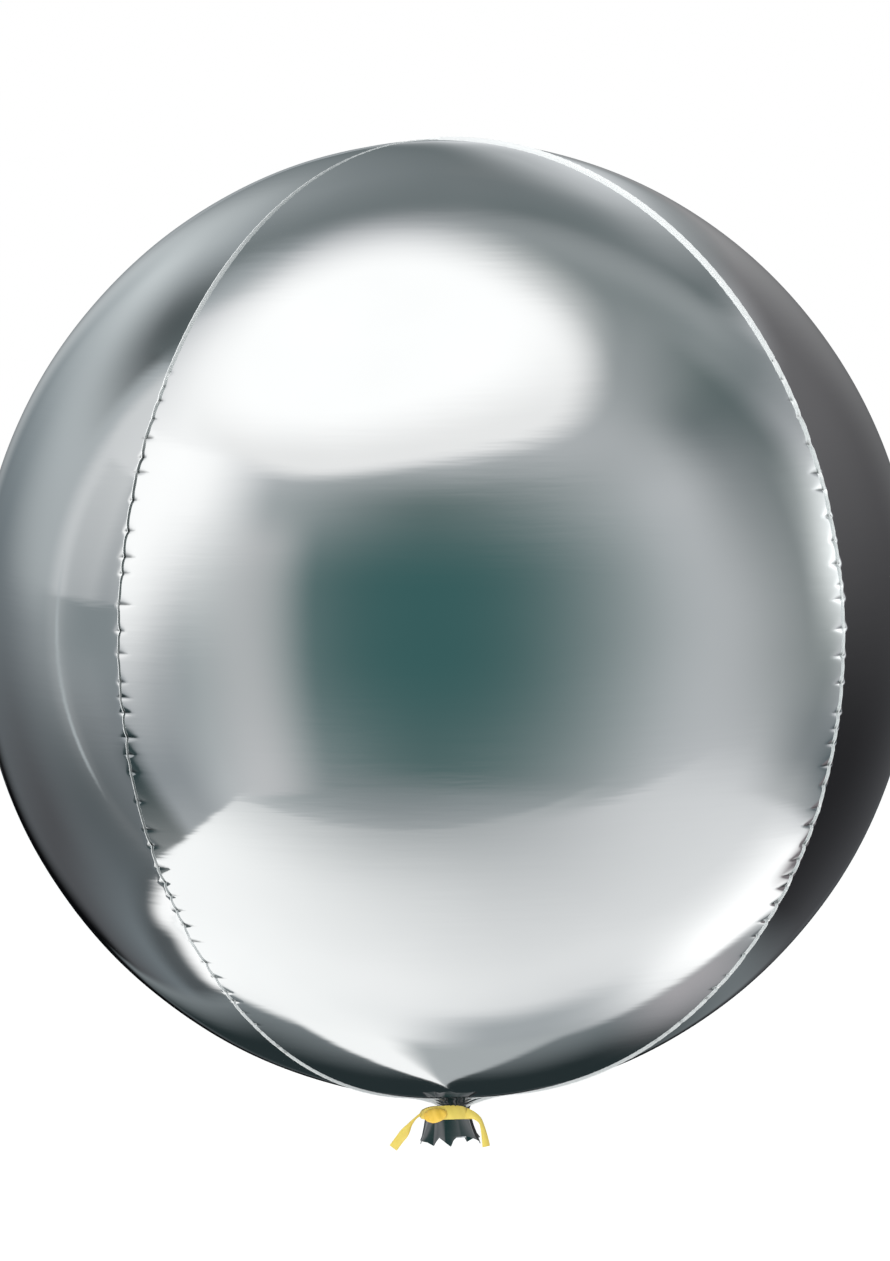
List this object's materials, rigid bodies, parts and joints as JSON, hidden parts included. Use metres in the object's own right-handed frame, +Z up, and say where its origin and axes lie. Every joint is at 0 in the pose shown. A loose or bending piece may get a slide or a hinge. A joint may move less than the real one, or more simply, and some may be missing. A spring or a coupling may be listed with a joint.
{
  "type": "round foil balloon",
  "caption": "Round gas-filled balloon of mirror foil gores with heat-sealed seams, a gathered neck tied by a flat ribbon and a short pleated tail.",
  "frame": {"origin": "middle of the filled envelope, where it floats in air", "axes": "+Z up along the axis from the neck to the crown, -Y out of the middle of the front gore, +X to the right seen from the front"},
  "size_m": [0.392, 0.392, 0.4272],
  "materials": {
    "mirror_film": "mirror-bright metallised film",
    "sealed_film": "bright crimped heat seal",
    "throat_film": "gathered metallised film",
    "tail_film": "pleated metallised film",
    "valve_film": "frosted clear film",
    "ribbon": "satin yellow curling ribbon"
  },
  "bodies": {
    "root": {"gore_front": "mirror_film", "gore_right": "mirror_film", "gore_back": "mirror_film", "gore_left": "mirror_film", "seal_front_right": "sealed_film", "seal_back_right": "sealed_film", "seal_back_left": "sealed_film", "seal_front_left": "sealed_film", "neck": "throat_film", "tail_front": "tail_film", "tail_back": "tail_film", "valve_film": "valve_film", "ribbon_band": "ribbon", "ribbon_knot": "ribbon", "ribbon_end_left": "ribbon", "ribbon_end_right": "ribbon"}
  },
  "joints": []
}
